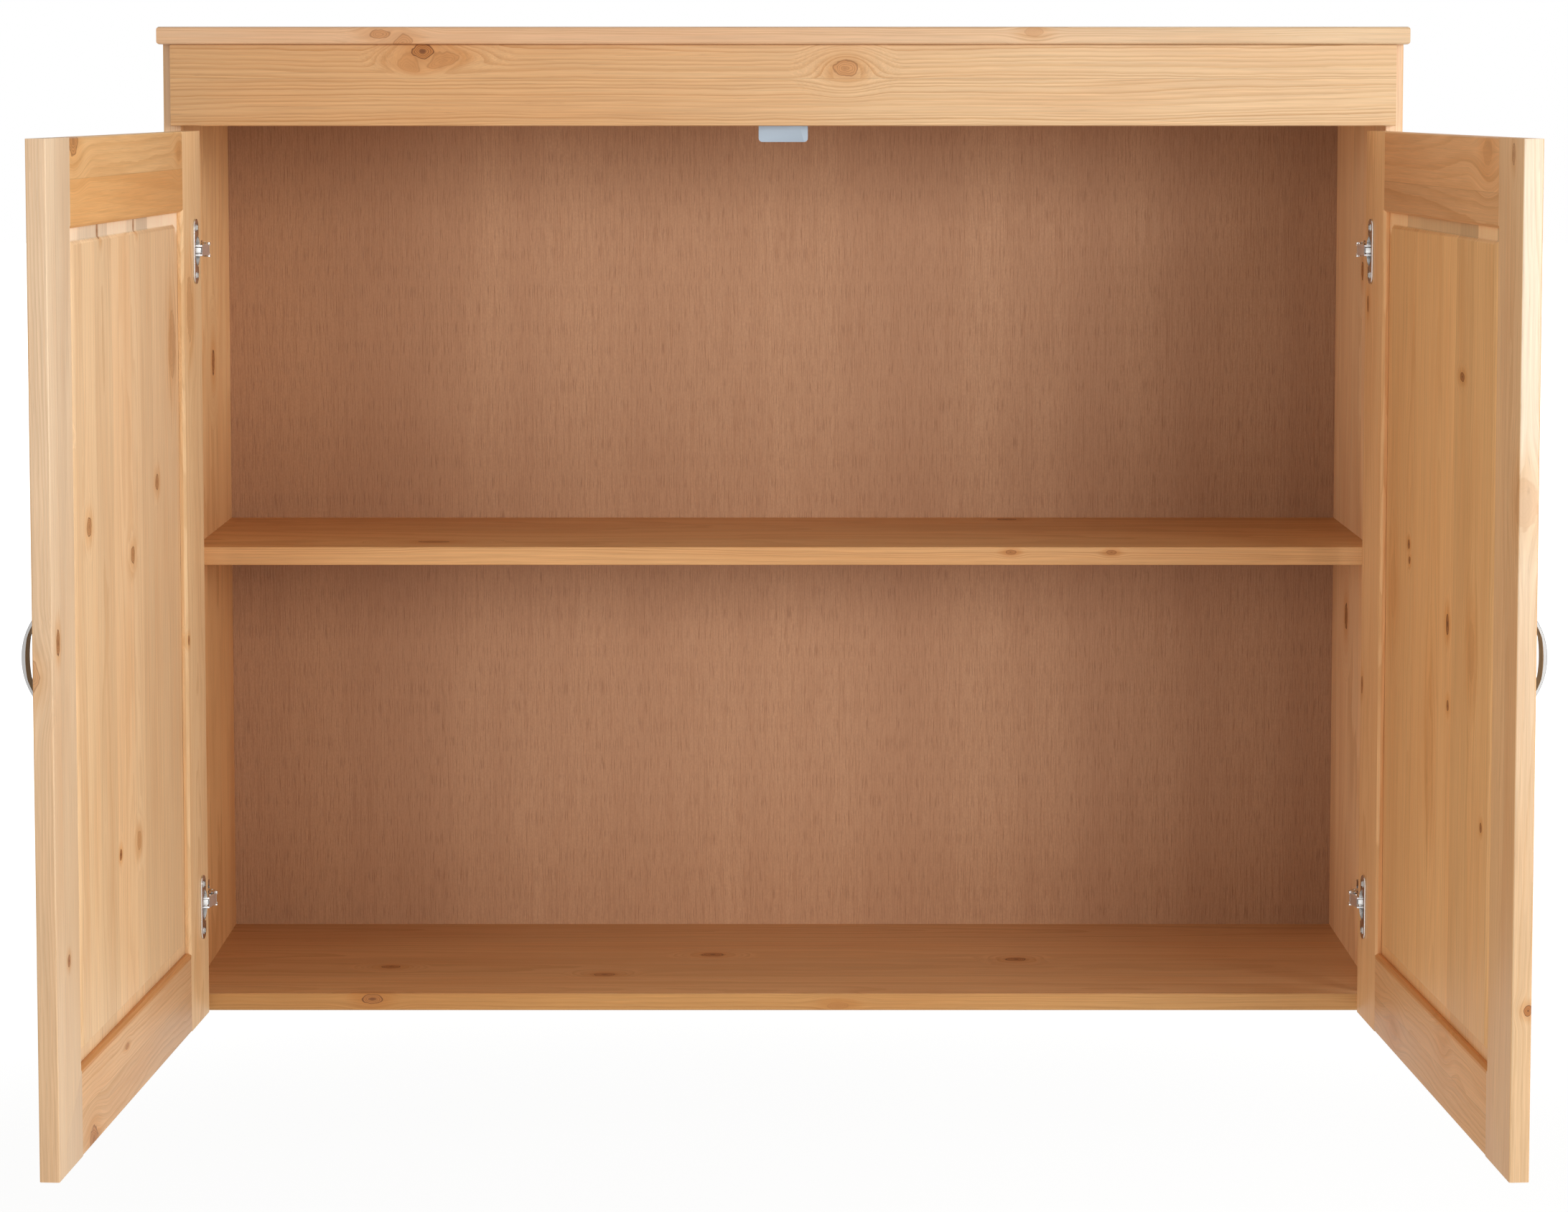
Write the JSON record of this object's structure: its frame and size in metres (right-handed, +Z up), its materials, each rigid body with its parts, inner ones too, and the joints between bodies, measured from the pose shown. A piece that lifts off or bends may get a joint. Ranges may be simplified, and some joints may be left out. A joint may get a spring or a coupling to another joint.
{
  "type": "wall cupboard",
  "caption": "Wall cupboard in honey pine with framed, raised-panel doors on concealed cup hinges, a fixed shelf, a frieze under the top board and bow handles.",
  "frame": {"origin": "on the wall plane, midway between the centres of the two hanging screw holes", "axes": "+Z up, -Y the front, +Y into the wall, +X to the right as seen from the front; both doors stand open at rest"},
  "size_m": [1.0538, 0.758, 0.801],
  "materials": {
    "case_wood": "clear satin lacquer",
    "door_wood": "clear satin lacquer",
    "back_veneer": "reddish-brown veneer, satin",
    "dowel_wood": "plain",
    "hinge_nickel": "nickel-plated",
    "handle_pewter": "satin, dark pewter colour",
    "stop_zinc": "zinc-plated",
    "fixing_steel": "bright zinc"
  },
  "bodies": {
    "carcass": {"left_side_panel": "case_wood", "right_side_panel": "case_wood", "top_board": "case_wood", "bottom_board": "case_wood", "shelf": "case_wood", "frieze": "case_wood", "hanging_rail": "case_wood", "back_panel": "back_veneer", "case_dowels": "dowel_wood", "frieze_dowels": "dowel_wood", "back_panel_nails": "fixing_steel", "door_stop_plate": "stop_zinc", "door_stop_screws": "fixing_steel", "left_hinge_bases": "hinge_nickel", "left_hinge_base_screws": "fixing_steel", "left_hinge_arms": "hinge_nickel", "left_hinge_arm_screws": "fixing_steel", "left_hinge_arm_pins": "fixing_steel", "right_hinge_bases": "hinge_nickel", "right_hinge_base_screws": "fixing_steel", "right_hinge_arms": "hinge_nickel", "right_hinge_arm_screws": "fixing_steel", "right_hinge_arm_pins": "fixing_steel"},
    "left_outer_links": {"left_outer_links": "hinge_nickel"},
    "left_door": {"left_hinge_stile": "door_wood", "left_free_stile": "door_wood", "left_top_rail": "door_wood", "left_bottom_rail": "door_wood", "left_door_panel": "door_wood", "left_hinge_cups": "hinge_nickel", "left_hinge_cup_pins": "fixing_steel", "left_hinge_cup_screws": "fixing_steel", "left_handle": "handle_pewter", "left_handle_screws": "fixing_steel"},
    "left_inner_links": {"left_inner_links": "hinge_nickel"},
    "right_outer_links": {"right_outer_links": "hinge_nickel"},
    "right_door": {"right_hinge_stile": "door_wood", "right_free_stile": "door_wood", "right_top_rail": "door_wood", "right_bottom_rail": "door_wood", "right_door_panel": "door_wood", "right_hinge_cups": "hinge_nickel", "right_hinge_cup_pins": "fixing_steel", "right_hinge_cup_screws": "fixing_steel", "right_handle": "handle_pewter", "right_handle_screws": "fixing_steel"},
    "right_inner_links": {"right_inner_links": "hinge_nickel"}
  },
  "joints": [
    {"name": "left_link_swing", "type": "hinge", "parent": "carcass", "child": "left_outer_links", "pos_m": [-0.4634, -0.2599, -0.3996], "axis": [0, 0, 1], "range_deg": [-38.12, 0]},
    {"name": "left_door_swing", "type": "hinge", "parent": "left_outer_links", "child": "left_door", "pos_m": [-0.47234, -0.27839, -0.3996], "axis": [0, 0, 1], "range_deg": [0, 131.72]},
    {"name": "left_inner_link_swing", "type": "hinge", "parent": "left_door", "child": "left_inner_links", "pos_m": [-0.47281, -0.27592, -0.3996], "axis": [0, 0, 1], "range_deg": [-126.02, 0]},
    {"name": "right_link_swing", "type": "hinge", "parent": "carcass", "child": "right_outer_links", "pos_m": [0.4634, -0.2599, -0.3996], "axis": [0, 0, -1], "range_deg": [-38.12, 0]},
    {"name": "right_door_swing", "type": "hinge", "parent": "right_outer_links", "child": "right_door", "pos_m": [0.47234, -0.27839, -0.3996], "axis": [0, 0, -1], "range_deg": [0, 131.72]},
    {"name": "right_inner_link_swing", "type": "hinge", "parent": "right_door", "child": "right_inner_links", "pos_m": [0.47281, -0.27592, -0.3996], "axis": [0, 0, -1], "range_deg": [-126.02, 0]}
  ],
  "couplings": [
    {"joint": "left_link_swing", "follows": "left_door_swing", "ratio": -0.28939},
    {"joint": "left_inner_link_swing", "follows": "left_door_swing", "ratio": -0.95671},
    {"joint": "right_link_swing", "follows": "right_door_swing", "ratio": -0.28939},
    {"joint": "right_inner_link_swing", "follows": "right_door_swing", "ratio": -0.95671}
  ]
}
